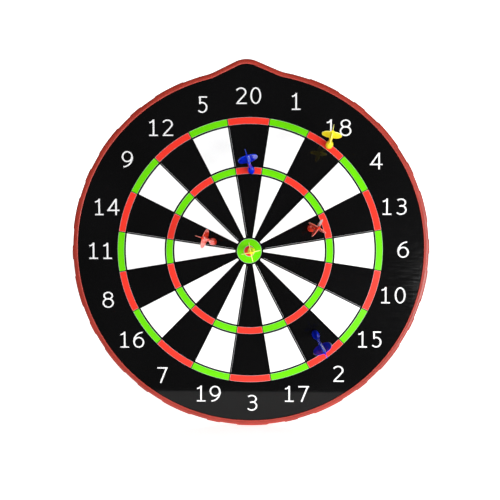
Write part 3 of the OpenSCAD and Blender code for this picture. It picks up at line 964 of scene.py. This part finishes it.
def make_pad(node):
    """A moulded rubber pad with a stepped rim and a shallow ring in its face."""
    low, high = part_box(node)
    radius = (high.x - low.x) / 2
    depth = high.y - low.y
    face_r = radius - 1 * MM
    sides = 64
    profile = [(0, 0.5 * MM), (2.0 * MM, 0.5 * MM), (2.4 * MM, 0.4 * MM), (2.6 * MM, 0.08 * MM)]
    profile += [(2.9 * MM, 0), (5.0 * MM, 0), (5.2 * MM, 0.25 * MM), (5.8 * MM, 0.25 * MM)]
    profile += [(6.0 * MM, 0), (face_r - 0.3 * MM, 0), (face_r, 0.1 * MM)]
    profile += [(radius - 0.2 * MM, 0.85 * MM), (radius, 1.2 * MM), (radius, depth * 0.45)]
    profile += [(radius - 0.35 * MM, depth * 0.5), (radius - 0.35 * MM, depth * 0.6)]
    profile += [(radius, depth * 0.65), (radius, depth), (0, depth)]
    at = Matrix.Translation((middle(node).x, high.y, middle(node).z))
    part = moved(lathe(profile, sides), at @ FACING_OUT)
    make_piece(node + "_moulded", *part, "wall_pad_rubber", "board", [node])


# ---- Studio ----

# The room's brightness: AMBIENT where it lights rough surfaces, BACKDROP behind the board as the
# camera sees it, and the other three where glossy surfaces mirror it: in front, in the middle of a
# dark patch in front and to the left, and behind
AMBIENT = 0.2
BACKDROP = 1.6
FRONT_GLOW = 0.17
DARK_GLOW = 0.1
BACK_GLOW = 0.4
DARK_PATCH = (-0.26, -0.96, 0.05)
# The floor's brightness at the board's foot, as it is seen and as it lights the board
FOOT_GLOW = 0.72
BOUNCE_GLOW = 1.9
FLOOR_HALF = 6
# How far in front of the face the floor reaches that the face mirrors
MIRRORED_FLOOR = 0.128
# Lamps, in watts
KEY_POWER = 8.6
FILL_POWER = 2.1
SHEEN_POWER = 3
TOP_POWER = 4
BACK_POWER = 7


def make_floor(name, near_y, far_y, mirrored):
    """A strip of floor from near_y to far_y, which glossy surfaces mirror or don't."""
    half = FLOOR_HALF
    mesh = bpy.data.meshes.new(name)
    corners = [(-half, near_y), (half, near_y), (half, far_y), (-half, far_y)]
    mesh.from_pydata([(x, y, FLOOR_Z) for x, y in corners], [], [(0, 1, 2, 3)])
    floor = bpy.data.objects.new(name, mesh)
    bpy.context.scene.collection.objects.link(floor)
    floor.data.materials.append(FLOOR_MATERIAL)
    floor.visible_glossy = mirrored


def floor_material():
    """A white floor that glows a little, and throws more light on the board near its foot."""
    shader = Shader("studio_floor")
    tone = shader.noise(3, 3)
    foot = (0, 0, FLOOR_Z)
    away = shader.add("ShaderNodeVectorMath", operation="DISTANCE")
    shader.feed(away.inputs[0], shader.place)
    shader.feed(away.inputs[1], foot)
    far = away.outputs["Value"]
    seen = shader.ramp(far, FOOT_GLOW, 1.0, 0.3, 0.8)
    thrown = shader.ramp(far, BOUNCE_GLOW, 0.9, 0.15, 0.4)
    shader.set(
        Base_Color=shader.ramp(tone, (0.88, 0.88, 0.88), (0.90, 0.90, 0.90), 0.3, 0.7),
        Roughness=0.9,
        Specular_IOR_Level=0.1,
        Emission_Color=(1, 1, 1, 1),
        Emission_Strength=shader.blend(shader.seen_by("Is Diffuse Ray"), seen, thrown, "FLOAT"),
    )
    return shader.material


def area_light(name, place, size, power, aim=(0, 0, 0)):
    """A rectangular lamp. Its place and what it is aimed at are measured from the bull."""
    data = bpy.data.lights.new(name, "AREA")
    data.shape = "RECTANGLE"
    data.size, data.size_y = size
    data.energy = power
    light = bpy.data.objects.new(name, data)
    light.location = BULL + Vector(place)
    light.rotation_euler = aimed(BULL + Vector(place), BULL + Vector(aim))
    bpy.context.scene.collection.objects.link(light)
    return light


def make_lamps():
    """The sheen lamp only makes highlights, and the fill lamp makes none."""
    area_light("key", (1.05, -1.1, -0.05), (0.45, 0.34), KEY_POWER)
    fill = area_light("fill", (0.36, -0.6, -0.15), (0.34, 0.14), FILL_POWER)
    fill.visible_glossy = False
    sheen = area_light("sheen", (0.49, -0.6, -0.13), (0.07, 0.16), SHEEN_POWER)
    sheen.visible_diffuse = False
    area_light("top", (0.1, 0.15, 1.4), (1.6, 0.9), TOP_POWER, aim=(0.1, 0.15, 0))
    area_light("back", (0.5, 1.3, 0.8), (1.0, 1.0), BACK_POWER)


def make_world():
    """A pale room. What the glossy surfaces mirror of it is dim in front and brighter behind."""
    world = bpy.data.worlds.new("studio")
    bpy.context.scene.world = world
    world.use_nodes = True
    room = NodeTree(world.node_tree, "Generated")

    def fade(towards, start, end, low, high):
        """From low to high as a direction turns towards another, by their cosine."""
        aim = room.add("ShaderNodeVectorMath", operation="DOT_PRODUCT")
        room.feed(aim.inputs[0], room.place)
        room.feed(aim.inputs[1], Vector(towards).normalized())
        return room.ramp(aim.outputs["Value"], low, high, start, end, "SMOOTHSTEP")

    front = fade(DARK_PATCH, 0.72, 0.95, FRONT_GLOW, DARK_GLOW)
    behind = fade((0, 1, 0), -0.15, 0.35, 0, 1)
    mirrored = room.blend(behind, front, BACK_GLOW, "FLOAT")
    lit = room.blend(room.seen_by("Is Diffuse Ray"), mirrored, AMBIENT, "FLOAT")
    strength = room.blend(room.seen_by("Is Camera Ray"), lit, BACKDROP, "FLOAT")
    background = world.node_tree.nodes["Background"]
    room.feed(background.inputs["Strength"], strength)
    room.feed(background.inputs["Color"], (1, 1, 1, 1))


def make_studio():
    make_world()
    ledge = FACE_Y - MIRRORED_FLOOR
    make_floor("floor_near", ledge, FLOOR_HALF, True)
    make_floor("floor_far", -FLOOR_HALF, ledge, False)
    make_lamps()
    settings = bpy.context.scene.view_settings
    settings.view_transform = "Standard"
    settings.look = "None"


# ---- The whole scene ----

make_camera()
MATERIALS = make_materials()
FLOOR_MATERIAL = floor_material()
for sub_part in frame["record"]["subparts"]:
    dress(frame["nodes"][sub_part["node"]], sub_part["material_slot"])
PATH = outline_path()
make_rim_half(PATH, "rim_upper", True)
make_rim_half(PATH, "rim_lower", False)
make_darts()
make_ring()
make_strap()
make_rivets()
make_pad("left_wall_pad")
make_pad("right_wall_pad")
make_studio()
